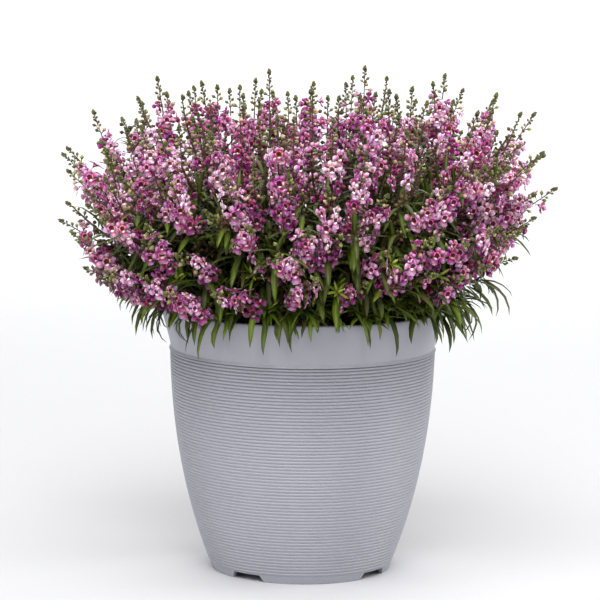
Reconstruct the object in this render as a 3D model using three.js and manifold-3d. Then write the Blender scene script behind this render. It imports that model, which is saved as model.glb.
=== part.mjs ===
// Potted angelonia: a ribbed plastic flower pot filled with soil, from which three plants
// have grown into one wide dome of flowering spikes.
// Millimetres, Z up. The pot's axis is Z, its foot stands on Z = 0 and the front looks to -Y.

import * as THREE from 'three';
import { mergeVertices } from 'three/addons/utils/BufferGeometryUtils.js';
import Module from 'manifold-3d';

const wasm = await Module();
wasm.setup();

// Pot
const potHeight = 262;
const potSides = 32;
const bandBottom = 219;
const bandRadius = 131.5;
const bodyTaper = [5.5, 29, 8.5];
const neckRadius = 132.3;
const neckHeight = 8;
const ribCount = 13;
const ribDepth = 1.5;
const rimRadius = 141;
const wall = 3.2;
const footHeight = 8;
const footRadius = 88.5;
const floorTop = 10.5;
const notchWidth = 37;
const notchHeight = 7;
const notchSlant = 4;
const notchTurn = 54;
const drainRadius = 7;
const drainCircle = 52;
const drainTurn = 9;
const quarterTurns = 4;

// Soil
const soilTop = 236;
const soilMound = 5;
const fit = 0.35;
const crownRadius = 9;
const crownDepth = 34;
const crownTip = 2.5;
const crownRise = 8;
const crownSides = 7;
const innerHeights = [floorTop, 60, 140, bandBottom + 6];

// Dome of flower spikes
const spikeCount = 48;
const innerSpikes = 18;
const plantCount = 3;
const plantCircle = 52;
const domeRadius = 250;
const domeMiddle = 370;
const domeRise = 122;
const domeDrop = 78;
const domeTaper = 30;
const domeRound = 0.62;
const domeEnd = 1.84;
const domeTilt = 10;
const sideLean = 1.0;
const domeUneven = 16;
const lowestFoot = potHeight + 10;
const lowSpikeAngle = 1.42;

// Towards the front the dome's lower edge is lifted, and leaves show below it
const liftHeight = 40;
const liftTurn = -1.1;
const liftWidth = 1.0;

// Flower spike. A lobe is its share of a floret's reach sideways, outwards and upwards.
const boreRadius = 2.1;
const coreRadius = 9;
const collarRadius = 3.6;
const ringPitch = 27;
const firstRing = 0.66;
const cellEdge = 19;
const throatRadius = 4.6;
const floretReach = 20;
const lobes = [
  [-0.56, 0.85, 0.8],
  [-1, 0.78, -0.1],
  [0, 0.92, -0.96],
  [1, 0.78, -0.1],
  [0.56, 0.85, 0.8],
];
const spikeRoom = floretReach * 1.2;
const budLength = 30;
const budRoom = 5.5;

// Stems. A knob is its share of the budded tip's length, and its radius.
const stemRadius = 1.4;
const stemFoot = 1.35;
const stemRoom = 2;
const stemMargin = 2.6;
const firstBend = 0.18;
const nodeLength = 0.045;
const knobs = [[0.25, 4.8], [0.48, 2], [0.68, 3.8], [0.86, 1.3]];

// Leaves
const leafWidth = 8.5;
const leafThickness = 1.3;
const leafRoom = 0.4;
const rimMargin = 5;
const rimShoots = 26;
const rimShootCircle = 126;
const rimShootHeight = 275;
const endLeafLength = 52;
const spikeLeaf = {
  length: 44, width: leafWidth, rise: 0.45, droop: 0.5, pull: 0.25, sections: [[3, 1]],
};
const rimLeaf = {
  length: 56, width: leafWidth, rise: 0.95, droop: 1.4, pull: 0.9, sections: [[3, 1]],
};

// Parts of one plant, whose stems and leaves are joined, may come this close to each other
const withinPlant = 0.4;

const up = new THREE.Vector3(0, 0, 1);
const goldenTurn = Math.PI * (3 - Math.sqrt(5));
const vec = (x, y, z) => new THREE.Vector3(x, y, z);

// The same number between 0 and 1 for the same pair, so every build grows the same plant
function draw(i, j) {
  const v = Math.sin(i * 12.9898 + j * 78.233) * 43758.5453;
  return v - Math.floor(v);
}

const spread = (i, j, width) => (draw(i, j) - 0.5) * width;

// A closed skin, collected triangle by triangle with outward faces
class Skin {
  constructor() {
    this.points = [];
    this.faces = [];
  }

  add(point) {
    this.points.push(point);
    return this.points.length - 1;
  }

  // Four-cornered face, seen anticlockwise from outside
  quad(a, b, c, d) {
    this.faces.push([a, b, c], [a, c, d]);
  }

  // Wall between two loops with as many points, the second further along
  band(low, high) {
    low.forEach((a, i) => {
      const n = (i + 1) % low.length;
      this.quad(a, low[n], high[n], high[i]);
    });
  }

  fan(loop, apex) {
    loop.forEach((a, i) => this.faces.push([a, loop[(i + 1) % loop.length], apex]));
  }

  geometry() {
    const g = new THREE.BufferGeometry();
    const flat = this.points.flatMap((p) => [p.x, p.y, p.z]);
    g.setAttribute('position', new THREE.Float32BufferAttribute(flat, 3));
    g.setIndex(this.faces.flat());
    return g;
  }
}

function toManifold(geometry) {
  const g = geometry.clone();
  g.deleteAttribute('normal');
  g.deleteAttribute('uv');
  const merged = mergeVertices(g, 1e-4);
  return new wasm.Manifold(new wasm.Mesh({
    numProp: 3,
    vertProperties: new Float32Array(merged.attributes.position.array),
    triVerts: new Uint32Array(merged.index.array),
  }));
}

function fromManifold(solid) {
  const mesh = solid.getMesh();
  const g = new THREE.BufferGeometry();
  g.setAttribute('position', new THREE.BufferAttribute(new Float32Array(mesh.vertProperties), 3));
  g.setIndex(new THREE.BufferAttribute(new Uint32Array(mesh.triVerts), 1));
  return g;
}

// Outer radius of the pot's body, without ribs or flared band
function bodyRadius(z) {
  const t = 1 - z / bandBottom;
  return bodyTaper.reduce((r, share, i) => r - share * t ** (i + 1), bandRadius);
}

// Lathed about Z from points of radius and height
function lathed(profile, sides) {
  const points = profile.map(([r, z]) => new THREE.Vector2(r, z));
  const g = new THREE.LatheGeometry(points, sides);
  g.rotateX(Math.PI / 2);
  return g;
}

function innerRadius(z) {
  const flare = Math.max(0, z - bandBottom - 6) / (potHeight - bandBottom - 6);
  return bodyRadius(Math.min(z, bandBottom)) - wall + flare * (rimRadius - 132);
}

function buildPot() {
  const profile = [[0, footHeight - 1], [footRadius - wall - 1, footHeight - 1]];
  profile.push([footRadius - wall - 1, 0], [footRadius - 1, 0], [footRadius, 1]);
  const pitch = (bandBottom - footHeight) / ribCount;
  for (let i = 0; i < ribCount; i += 1) {
    const z = footHeight + i * pitch;
    profile.push([bodyRadius(z) - ribDepth, z], [bodyRadius(z + pitch / 2), z + pitch / 2]);
  }
  profile.push([bodyRadius(bandBottom) - ribDepth, bandBottom]);
  profile.push([bandRadius + 0.5, bandBottom + 1.5], [neckRadius, bandBottom + neckHeight]);
  profile.push([rimRadius - 0.4, potHeight - 2], [rimRadius - 1.4, potHeight]);
  profile.push([rimRadius - wall - 0.8, potHeight], [innerRadius(potHeight - 2), potHeight - 2]);
  for (const z of [...innerHeights].reverse()) {
    profile.push([innerRadius(z), z]);
  }
  profile.push([0, floorTop]);
  let pot = toManifold(lathed(profile, potSides));

  // Four wide notches in the foot let water run out
  for (let i = 0; i < quarterTurns; i += 1) {
    const notch = new THREE.Shape();
    const low = notchWidth / 2 + 1;
    notch.moveTo(-low, -1);
    notch.lineTo(low, -1);
    notch.lineTo(low - notchSlant, notchHeight);
    notch.lineTo(-low + notchSlant, notchHeight);
    const cutter = new THREE.ExtrudeGeometry(notch, { depth: 30, bevelEnabled: false });
    cutter.rotateX(Math.PI / 2);
    cutter.translate(0, -72, 0);
    cutter.rotateZ(THREE.MathUtils.degToRad(notchTurn + 90 * i));
    pot = pot.subtract(toManifold(cutter));
  }

  // Drain holes through the floor
  for (let i = 0; i < quarterTurns; i += 1) {
    const drain = new THREE.CylinderGeometry(drainRadius, drainRadius, 20, 8);
    drain.rotateX(Math.PI / 2);
    drain.translate(drainCircle, 0, floorTop);
    drain.rotateZ(THREE.MathUtils.degToRad(drainTurn + 90 * i));
    pot = pot.subtract(toManifold(drain));
  }
  return fromManifold(pot);
}

// Where the plants stand, evenly round the middle
function crownPlaces() {
  const places = [];
  for (let i = 0; i < plantCount; i += 1) {
    const turn = Math.PI / 2 + (i * 2 * Math.PI) / plantCount;
    places.push(vec(plantCircle * Math.cos(turn), plantCircle * Math.sin(turn), 0));
  }
  return places;
}

// The woody crown of a plant narrows downwards, and its hole in the soil does the same
function crownCone(place, gap) {
  const height = crownDepth + crownRise - fit + gap;
  const cone = new THREE.CylinderGeometry(crownRadius + gap, crownTip + gap, height, crownSides);
  cone.rotateX(Math.PI / 2);
  cone.translate(place.x, place.y, soilTop + crownRise - height / 2);
  return toManifold(cone);
}

function soilHeight(x, y) {
  const r = Math.hypot(x, y);
  return soilTop + soilMound * (1 - (r / 130) ** 2) + 1.6 * Math.sin(x / 17) * Math.cos(y / 14);
}

function buildSoil() {
  const profile = [[0, floorTop + fit]];
  for (const z of innerHeights) {
    profile.push([innerRadius(z) - fit, Math.max(z, floorTop + fit)]);
  }
  const edge = innerRadius(soilTop) - fit;
  profile.push([edge, soilTop], [edge * 0.6, soilTop], [0, soilTop]);
  const g = lathed(profile, potSides);
  const p = g.attributes.position;
  for (let i = 0; i < p.count; i += 1) {
    if (p.getZ(i) > soilTop - 1 && Math.hypot(p.getX(i), p.getY(i)) < edge - 1) {
      p.setZ(i, soilHeight(p.getX(i), p.getY(i)));
    }
  }
  let soil = toManifold(g);
  for (const place of crownPlaces()) {
    soil = soil.subtract(crownCone(place, fit));
  }
  return fromManifold(soil);
}

// How far the lower edge of the dome is lifted in a direction
function edgeLift(turn) {
  const off = Math.atan2(Math.sin(turn - liftTurn), Math.cos(turn - liftTurn));
  return liftHeight * Math.exp(-((off / liftWidth) ** 2));
}

// A point on the dome, by its angle from the vertical and its turn: distance from the axis, and
// height. The dome is widest some way up, tapers below, and is tilted a little to one side.
function domePoint(angle, turn) {
  const tilt = domeTilt * Math.cos(turn) * Math.sin(Math.min(angle, Math.PI / 2));
  if (angle < Math.PI / 2) {
    const r = domeRadius * Math.sin(angle) ** domeRound;
    return [r, domeMiddle + tilt + domeRise * Math.cos(angle) ** domeRound];
  }
  const below = (angle - Math.PI / 2) / (domeEnd - Math.PI / 2);
  const drop = domeDrop - edgeLift(turn);
  return [domeRadius - domeTaper * below, domeMiddle + tilt - drop * below];
}

// Angles that cut the dome's skin into rings of equal area, from its top down
function domeAngles(count) {
  const steps = 400;
  const angle = (i) => (domeEnd * i) / steps;
  const area = [0];
  for (let i = 0; i < steps; i += 1) {
    const [r0, z0] = domePoint(angle(i), 0);
    const [r1, z1] = domePoint(angle(i + 1), 0);
    area.push(area[i] + ((r0 + r1) / 2) * Math.hypot(r1 - r0, z1 - z0));
  }
  const angles = [];
  for (let k = 0; k < count; k += 1) {
    const target = ((k + 0.5) / count) * area[steps];
    angles.push(angle(area.findIndex((a) => a >= target)));
  }
  return angles;
}

// The plant whose crown stands nearest to a direction from the middle
function plantToward(turn) {
  const sector = (2 * Math.PI) / plantCount;
  const place = Math.round((turn - Math.PI / 2) / sector) % plantCount;
  return (place + plantCount) % plantCount;
}

// Where a stem's first corner looks, so that two of its three sides look outwards
function cornerSide(axis, turn) {
  const level = vec(-Math.sin(turn), Math.cos(turn), 0);
  return level.applyAxisAngle(axis, Math.PI / 6);
}

// Every flower spike: its straight upper part, from the foot of its florets to its tip
function layoutSpikes() {
  return domeAngles(spikeCount).map((angle, k) => {
    const turn = (k * goldenTurn + spread(k, 1, 0.1)) % (2 * Math.PI);
    const [r, z] = domePoint(angle, turn);
    const lean = sideLean * (angle / (Math.PI / 2)) ** 1.5 + spread(k, 2, 0.14);
    const side = turn + spread(k, 3, 0.16);
    const axis = vec(Math.cos(side) * Math.sin(lean), Math.sin(side) * Math.sin(lean), Math.cos(lean));
    const rings = angle > lowSpikeAngle ? 2 : 3;
    const length = ringPitch * rings + 4;
    const bud = budLength * (rings === 2 ? 0.75 : 0.9 + spread(k, 4, 0.3));
    const tip = vec(r * Math.cos(turn), r * Math.sin(turn), z + spread(k, 5, domeUneven));
    tip.z = Math.max(tip.z, lowestFoot + (length + bud) * axis.z);
    const foot = tip.clone().addScaledVector(axis, -length - bud);
    const across = cornerSide(axis, side);
    return { k, plant: plantToward(turn), axis, across, rings, length, bud, foot, tip };
  });
}

// Space that is taken, as rods with round ends; those of a flower spike have no plant
const taken = [];

function take(a, b, radius, owner, plant = -1) {
  taken.push({ a, b, radius, owner, plant });
}

// Shortest distance between two straight pieces
function rodDistance(a, b, c, d) {
  const u = b.clone().sub(a);
  const v = d.clone().sub(c);
  const w = a.clone().sub(c);
  const uu = u.dot(u);
  const uv = u.dot(v);
  const vv = v.dot(v);
  const det = uu * vv - uv * uv;
  const clamp = (x) => Math.min(1, Math.max(0, x));
  let s = det > 1e-9 ? clamp((uv * v.dot(w) - vv * u.dot(w)) / det) : 0;
  const t = clamp((uv * s + v.dot(w)) / vv);
  s = clamp((uv * t - u.dot(w)) / uu);
  return w.addScaledVector(u, s).addScaledVector(v, -t).length();
}

function isClear(points, radius, own, plant = -2) {
  for (let i = 0; i + 1 < points.length; i += 1) {
    for (const rod of taken) {
      const room = (radius + rod.radius) * (rod.plant === plant ? withinPlant : 1);
      const isOwn = own.includes(rod.owner);
      if (!isOwn && rodDistance(points[i], points[i + 1], rod.a, rod.b) < room) {
        return false;
      }
    }
  }
  return true;
}

const rodsOf = (owner) => taken.filter((rod) => rod.owner === owner);

// Clear of the pot's wall and rim, and of the soil
function missesPot(points, margin) {
  return points.every((p) => {
    const r = Math.hypot(p.x, p.y);
    if (p.z > potHeight + margin) {
      return true;
    }
    if (r < rimRadius) {
      return r < innerRadius(p.z) - margin && p.z > soilHeight(p.x, p.y) + margin;
    }
    return r > rimRadius + margin;
  });
}

function curvePoint(p, t) {
  const s = 1 - t;
  return p[0].clone().multiplyScalar(s * s * s)
    .addScaledVector(p[1], 3 * s * s * t)
    .addScaledVector(p[2], 3 * s * t * t)
    .addScaledVector(p[3], t * t * t);
}

function curveTangent(p, t) {
  const s = 1 - t;
  return p[1].clone().sub(p[0]).multiplyScalar(s * s)
    .addScaledVector(p[2].clone().sub(p[1]), 2 * s * t)
    .addScaledVector(p[3].clone().sub(p[2]), t * t)
    .normalize();
}

// Three corners round a point of a stem
function ringCorners(skin, centre, along, across, radius, turn) {
  const other = along.clone().cross(across);
  return [0, 1, 2].map((q) => {
    const a = turn + (q * 2 * Math.PI) / 3;
    return skin.add(centre.clone()
      .addScaledVector(across, radius * Math.cos(a))
      .addScaledVector(other, radius * Math.sin(a)));
  });
}

// Centre line of a leaf that leaves its stem rising and bends over under its weight
function leafLine(start, out, length, rise, droop) {
  const points = [];
  for (let i = 0; i <= 6; i += 1) {
    const t = i / 6;
    const run = length * t * (1 - 0.12 * t);
    points.push(start.clone()
      .addScaledVector(out, run)
      .addScaledVector(up, length * (rise * t - droop * t * t)));
  }
  return points;
}

const midOf = (skin, corners) => corners
  .reduce((sum, i) => sum.add(skin.points[i]), vec(0, 0, 0))
  .multiplyScalar(1 / corners.length);

// The order of the four corners a leaf grows from that turns least towards its first section
function leastTwist(skin, from, to) {
  const [a, b] = [midOf(skin, from), midOf(skin, to)];
  const match = (shift) => to.reduce((sum, end, i) => {
    const corner = skin.points[from[(i + shift) % 4]].clone().sub(a).normalize();
    return sum + skin.points[end].clone().sub(b).normalize().dot(corner);
  }, 0);
  const best = [0, 1, 2, 3].reduce((s, t) => (match(t) > match(s) + 1e-6 ? t : s));
  return from.map((_, i) => from[(i + best) % 4]);
}

// A lance-shaped leaf with a folded midrib, grown from four corners on its stem
function addLeaf(skin, corners, line, width, sections) {
  let loop = corners;
  for (const [at, share] of sections) {
    const centre = line[at];
    const along = line[at + 1].clone().sub(line[at - 1]).normalize();
    const right = up.clone().cross(along).normalize();
    const top = along.clone().cross(right);
    const half = (width * share) / 2;
    const edge = (side) => centre.clone().addScaledVector(right, side * half)
      .addScaledVector(top, half * 0.3);
    const next = [
      skin.add(edge(-1)),
      skin.add(centre.clone().addScaledVector(top, -leafThickness / 2)),
      skin.add(edge(1)),
      skin.add(centre.clone().addScaledVector(top, leafThickness / 2)),
    ];
    if (loop === corners) {
      loop = leastTwist(skin, corners, next);
    }
    // Both faces are split along the same lines, so that the thin blade never meets itself
    skin.quad(loop[0], loop[1], next[1], next[0]);
    skin.quad(loop[1], loop[2], next[2], next[1]);
    skin.quad(loop[3], next[3], next[2], loop[2]);
    skin.quad(loop[0], next[0], next[3], loop[3]);
    loop = next;
  }
  skin.fan(loop, skin.add(line[6]));
}

// Tries a few bends for a leaf until one is clear of everything else
function tryLeaf(skin, corners, stem, size, shoot, seed) {
  const { own, plant } = shoot;
  const start = midOf(skin, corners);
  const outward = start.clone().setZ(0).normalize();
  const facing = start.clone().sub(stem).setZ(0).normalize();
  const out = facing.clone().addScaledVector(outward, size.pull).normalize();
  if (!(out.dot(facing) > 0.72)) {
    return false;
  }
  for (let n = 0; n < 8; n += 1) {
    const length = size.length * (1 - 0.06 * n + spread(seed, 20 + n, 0.12));
    const rise = size.rise + spread(seed, 30 + n, 0.5);
    const line = leafLine(start, out, length, rise, size.droop + spread(seed, 40 + n, 0.3));
    const bends = [line[0], ...size.sections.map(([at]) => line[at]), line[6]];
    const blade = [bends[0].clone().lerp(bends[1], 0.36), ...bends.slice(1)];
    const half = size.width / 2;
    const clearOfOwn = rodsOf(own).every((rod) => blade.slice(1)
      .every((point, i) => rodDistance(blade[i], point, rod.a, rod.b) > half + rod.radius));
    const isOpen = clearOfOwn && missesPot(finePoints(blade), rimMargin);
    if (isOpen && isClear(blade, half, [], plant)) {
      addLeaf(skin, corners, line, size.width, size.sections);
      blade.slice(1).forEach((point, i) => take(blade[i], point, size.width * leafRoom, own, plant));
      return true;
    }
  }
  return false;
}

// Edges of the leaf that ends a leafy shoot: left, right and keel
const bladeEdges = [[1, 0.4], [-1, 0.4], [0, -0.8]];

// A stem of three sides along a curve, then straight on through its florets to a budded tip.
// At each node it carries up to three leaves.
function growStem(shoot) {
  const skin = new Skin();
  const { curve, axis, across } = shoot;
  const stations = [];
  for (const t of stationTimes(shoot.nodes).reverse()) {
    const along = curveTangent(curve, t);
    const last = stations.length ? stations[stations.length - 1].across : across;
    const side = last.clone().addScaledVector(along, -last.dot(along)).normalize();
    stations.push({ centre: curvePoint(curve, t), along, across: side });
  }
  stations.reverse();
  const rings = stations.map((s, i) => {
    const radius = stemRadius * (i === stations.length - 1 ? 1 : stemFoot);
    return ringCorners(skin, s.centre, s.along, s.across, radius, 0);
  });
  skin.fan([...rings[0]].reverse(), skin.add(stations[0].centre.clone().addScaledVector(up, -1)));
  for (let i = 0; i + 1 < rings.length; i += 1) {
    const isNode = i >= 2 && i % 2 === 0 && i + 2 < rings.length;
    for (let q = 0; q < 3; q += 1) {
      const n = (q + 1) % 3;
      const corners = [rings[i][q], rings[i][n], rings[i + 1][n], rings[i + 1][q]];
      const seed = shoot.seed * 18 + i * 3 + q;
      const mid = stations[i].centre.clone().lerp(stations[i + 1].centre, 0.5);
      const grown = isNode && tryLeaf(skin, corners, mid, shoot.leaf, shoot, seed);
      if (!grown) {
        skin.quad(...corners);
      }
    }
  }
  let loop = rings[rings.length - 1];
  shoot.knobs.forEach(([height, radius], i) => {
    const centre = shoot.head.clone().addScaledVector(axis, height);
    const next = ringCorners(skin, centre, axis, across, radius, i % 2 ? Math.PI / 3 : 0);
    // A ring turned by half a side meets the one below it in a zigzag
    const turned = i > 0 && i % 2 === 0;
    loop.forEach((a, q) => {
      const b = loop[(q + 1) % 3];
      const c = next[(q + (turned ? 1 : 0)) % 3];
      const d = next[(q + (turned ? 2 : 1)) % 3];
      if (i === 0) {
        skin.quad(a, b, d, c);
      } else {
        skin.faces.push([a, b, c], [b, d, c]);
      }
    });
    loop = next;
  });
  if (shoot.bend) {
    const level = up.clone().cross(axis).normalize();
    const wide = bladeEdges.map(([side, top]) => skin.add(shoot.bend.clone()
      .addScaledVector(level, (side * leafWidth) / 2)
      .addScaledVector(up, top * leafThickness)));
    skin.band(loop, wide);
    loop = wide;
  }
  skin.fan(loop, skin.add(shoot.tip));
  return skin;
}

// A sleeve of florets round a stem. Its core is a honeycomb of six-cornered cells, three to a
// ring, and each cell opens into a floret: two upper lobes, one at each side and a lower lip.
function growSleeve(spike) {
  const skin = new Skin();
  const { axis, across, rings, k } = spike;
  const other = axis.clone().cross(across);
  const toward = (turn) => across.clone().multiplyScalar(Math.cos(turn))
    .addScaledVector(other, Math.sin(turn));
  const sixth = Math.PI / 3;
  const at = (m, radius, height) => skin.add(spike.foot.clone()
    .addScaledVector(toward(m * sixth), radius)
    .addScaledVector(axis, height));
  const middle = (ring) => ringPitch * (ring + firstRing);
  const row = (odd, radius, height) => {
    const corners = [];
    for (let m = odd; m < 6; m += 2) {
      corners[m] = at(m, radius, height);
    }
    return corners;
  };
  const low = [];
  const high = [row(0, collarRadius, 2)];
  for (let ring = 0; ring < rings; ring += 1) {
    const odd = (ring + 1) % 2;
    const radius = coreRadius * (1 - 0.06 * ring);
    low.push(row(odd, radius, middle(ring) - cellEdge / 2));
    high.push(row(odd, radius, middle(ring) + cellEdge / 2));
  }
  low.push(row((rings + 1) % 2, collarRadius - 0.2, spike.length - 2));

  for (let ring = 0; ring < rings; ring += 1) {
    for (let m = ring % 2; m < 6; m += 2) {
      const left = (m + 5) % 6;
      const right = (m + 1) % 6;
      const notches = [low[ring + 1][m], high[ring + 1][left], low[ring][left],
        low[ring][right], high[ring + 1][right]];
      const bottom = high[ring][m];
      const size = (1 - 0.07 * ring) * (1 + spread(k * 9 + ring * 3 + m, 6, 0.08));
      const out = toward(m * sixth);
      const side = toward(m * sixth + Math.PI / 2);
      const local = (x, y, z) => skin.add(spike.foot.clone()
        .addScaledVector(side, x)
        .addScaledVector(out, y)
        .addScaledVector(axis, middle(ring) + z));
      const throat = local(0, throatRadius, 1);
      lobes.forEach(([x, y, z], i) => {
        const reach = floretReach * size;
        const tip = local(x * reach, y * reach, z * reach);
        const from = notches[i];
        const to = notches[(i + 1) % 5];
        skin.faces.push([throat, from, tip], [throat, tip, to]);
        if (i === 2) {
          skin.faces.push([from, bottom, tip], [bottom, to, tip]);
        } else {
          skin.faces.push([from, to, tip]);
        }
      });
    }
  }

  // The bore, with the stem's own three sides
  const bore = [row(0, boreRadius, 0), row(0, boreRadius, spike.length)];
  const head = (m) => (rings + 1) % 2 === m % 2 ? low[rings][m] : high[rings][m];
  for (let m = 0; m < 6; m += 2) {
    const next = (m + 2) % 6;
    const [a, b] = [bore[0][m], bore[0][next]];
    const [c, d] = [bore[1][m], bore[1][next]];
    const edge = low[0][m + 1];
    skin.faces.push([a, edge, high[0][m]], [a, b, edge], [b, high[0][next], edge]);
    skin.faces.push([c, head(m), head(m + 1)], [c, head(m + 1), d], [d, head(m + 1), head(next)]);
    skin.quad(b, a, c, d);
  }
  return skin;
}

const spikes = layoutSpikes();
const crowns = crownPlaces();

for (const spike of spikes) {
  spike.head = spike.foot.clone().addScaledVector(spike.axis, spike.length);
  take(spike.foot, spike.head, spikeRoom, `spike ${spike.k}`);
  take(spike.head, spike.tip, budRoom, `spike ${spike.k}`);
}

// Where along its curve a stem has a ring of corners: a bend near the crown, and a short
// length at each node
function stationTimes(nodes) {
  return [0, firstBend, ...nodes.flatMap((n) => [n, n + nodeLength]), 1];
}

// Points along straight lengths between stations, close enough to test against the pot
const finePoints = (points) => points.slice(1).flatMap((point, i) => [0.25, 0.5, 0.75, 1]
  .map((t) => points[i].clone().lerp(point, t)));

// From a crown in the soil up to a foot above it, bent until it meets nothing else
function stemCurve(plant, foot, axis, nodes, own, seed) {
  const crown = crowns[plant];
  for (let n = 0; n < 60; n += 1) {
    const reach = foot.clone().sub(crown).setZ(0).normalize();
    const start = crown.clone().setZ(soilTop + 3).addScaledVector(reach, 3);
    const gap = foot.distanceTo(start);
    const lift = vec(spread(seed, 50 + n, 0.04 * n), spread(seed, 120 + n, 0.04 * n), 1);
    const curve = [
      start,
      start.clone().addScaledVector(lift, gap * 0.42),
      foot.clone().addScaledVector(axis, -gap * (0.34 + spread(seed, 190 + n, 0.01 * n)))
        .addScaledVector(up, 0.4 * n),
      foot.clone().addScaledVector(axis, -3),
    ];
    const points = stationTimes(nodes).map((t) => curvePoint(curve, t));
    const isOpen = missesPot(finePoints(points.slice(1)), 3);
    if (isOpen && isClear(points.slice(1), stemMargin, own, plant)) {
      points.slice(1).forEach((point, i) => take(points[i], point, stemRoom, own[0], plant));
      return curve;
    }
  }
  return null;
}

const plants = crowns.map(() => []);

for (const spike of spikes) {
  const own = `stem ${spike.k}`;
  const nodes = spike.k < innerSpikes ? [0.7] : [0.46, 0.8];
  const curve = stemCurve(
    spike.plant, spike.foot, spike.axis, nodes, [own, `spike ${spike.k}`], spike.k,
  );
  if (!curve) {
    throw new Error(`no way up for spike ${spike.k}`);
  }
  plants[spike.plant].push({
    ...spike,
    curve,
    own,
    seed: spike.k,
    nodes,
    knobs: [[1.5, stemRadius], ...knobs.map(([share, r]) => [spike.bud * share, r])],
    leaf: spikeLeaf,
  });
}

// Leafy shoots without flowers, which hang their leaves over the rim all round
for (let i = 0; i < rimShoots; i += 1) {
  const turn = ((i + 0.5) * 2 * Math.PI) / rimShoots;
  const out = vec(Math.cos(turn), Math.sin(turn), 0);
  const plant = plantToward(turn);
  for (let n = 0; n < 40; n += 1) {
    const foot = out.clone().multiplyScalar(rimShootCircle + spread(i, 60 + n, 12));
    foot.z = rimShootHeight + spread(i, 80 + n, 8);
    const lean = 0.8 + spread(i, 120 + n, 0.5);
    const axis = out.clone().multiplyScalar(Math.sin(lean)).addScaledVector(up, Math.cos(lean));
    const bend = foot.clone().addScaledVector(out, endLeafLength * 0.42);
    bend.z += endLeafLength * (0.12 + spread(i, 160 + n, 0.2));
    const tip = foot.clone().addScaledVector(out, endLeafLength * 0.9);
    tip.z -= endLeafLength * (0.4 + spread(i, 200 + n, 0.3));
    const own = `shoot ${i}`;
    const nodes = [0.84];
    const blade = [foot, bend, tip];
    const curve = isClear(blade, leafWidth * 0.6, [own], plant)
      && missesPot(finePoints(blade), rimMargin)
      && stemCurve(plant, foot, axis, nodes, [own], 200 + i);
    if (curve) {
      take(foot, bend, leafWidth * leafRoom, own, plant);
      take(bend, tip, leafWidth * leafRoom, own, plant);
      plants[plant].push({
        curve, own, axis, bend, tip, plant,
        across: cornerSide(axis, turn),
        head: foot,
        seed: 200 + i,
        nodes,
        knobs: [],
        leaf: rimLeaf,
      });
      break;
    }
  }
}

function buildPlant(p) {
  let body = crownCone(crowns[p], 0);
  for (const shoot of plants[p]) {
    body = body.add(toManifold(growStem(shoot).geometry()));
  }
  // A pocket closed in between crossing stems is filled
  const skins = body.decompose().filter((skin) => skin.volume() > 0);
  return fromManifold(skins.reduce((whole, skin) => whole.add(skin)));
}

const group = new THREE.Group();

function addPart(name, geometry, colour, roughness) {
  const material = new THREE.MeshStandardMaterial({ color: colour, roughness, metalness: 0 });
  const mesh = new THREE.Mesh(geometry, material);
  mesh.name = name;
  group.add(mesh);
}

addPart('pot', buildPot(), 0xa9a9b8, 0.55);
addPart('soil', buildSoil(), 0x3a2a20, 0.95);

crowns.forEach((crown, p) => addPart(`plant_${p + 1}`, buildPlant(p), 0x4c6b35, 0.7));
spikes.forEach((spike, k) => {
  const name = `flower_spike_${String(k + 1).padStart(2, '0')}`;
  addPart(name, growSleeve(spike).geometry(), 0xb86fae, 0.6);
});

export default group;
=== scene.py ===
import math
import random

import bmesh
import bpy
from mathutils import Matrix, Vector


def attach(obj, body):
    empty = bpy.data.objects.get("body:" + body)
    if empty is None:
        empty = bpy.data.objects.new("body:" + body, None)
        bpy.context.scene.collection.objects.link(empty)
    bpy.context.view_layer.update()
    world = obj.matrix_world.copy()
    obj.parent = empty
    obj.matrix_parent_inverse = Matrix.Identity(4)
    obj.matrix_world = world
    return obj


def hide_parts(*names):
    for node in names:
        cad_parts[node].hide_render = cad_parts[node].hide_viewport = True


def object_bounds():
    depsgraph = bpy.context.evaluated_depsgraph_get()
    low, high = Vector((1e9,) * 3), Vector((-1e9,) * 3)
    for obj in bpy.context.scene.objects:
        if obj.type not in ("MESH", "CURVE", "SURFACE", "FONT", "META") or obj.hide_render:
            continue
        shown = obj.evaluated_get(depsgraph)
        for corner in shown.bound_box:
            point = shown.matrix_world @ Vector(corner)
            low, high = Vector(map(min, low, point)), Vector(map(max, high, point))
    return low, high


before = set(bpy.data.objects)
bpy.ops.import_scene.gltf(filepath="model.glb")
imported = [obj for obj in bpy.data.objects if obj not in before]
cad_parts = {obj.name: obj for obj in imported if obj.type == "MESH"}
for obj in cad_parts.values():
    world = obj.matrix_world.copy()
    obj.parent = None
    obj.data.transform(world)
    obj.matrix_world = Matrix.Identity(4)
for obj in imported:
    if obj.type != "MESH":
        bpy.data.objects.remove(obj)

# Potted angelonia: a ribbed plastic pot, its soil, and three plants that grew into one dome of
# flower spikes. Metres, Z up, front towards -Y. The dictionaries hold millimetres, used times mm.

cadBox = [list(corner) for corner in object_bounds()]
mm = 0.001
up = Vector((0, 0, 1))
goldenTurn = math.pi * (3 - math.sqrt(5))
spikeNodes = sorted(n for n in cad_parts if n.startswith("flower_spike"))
plantNodes = sorted(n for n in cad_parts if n.startswith("plant"))


def linear(hexColour):
    parts = [int(hexColour[i:i + 2], 16) / 255 for i in (1, 3, 5)]
    return [c / 12.92 if c <= 0.04045 else ((c + 0.055) / 1.055) ** 2.4 for c in parts] + [1.0]


# What goes into a node's sockets: a value, another socket, or a node, for its first output
def plug(tree, node, inputs):
    for name, value in inputs.items():
        if isinstance(value, bpy.types.Node):
            value = value.outputs[0]
        if isinstance(value, bpy.types.NodeSocket):
            tree.links.new(value, node.inputs[name])
        else:
            node.inputs[name].default_value = value


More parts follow.
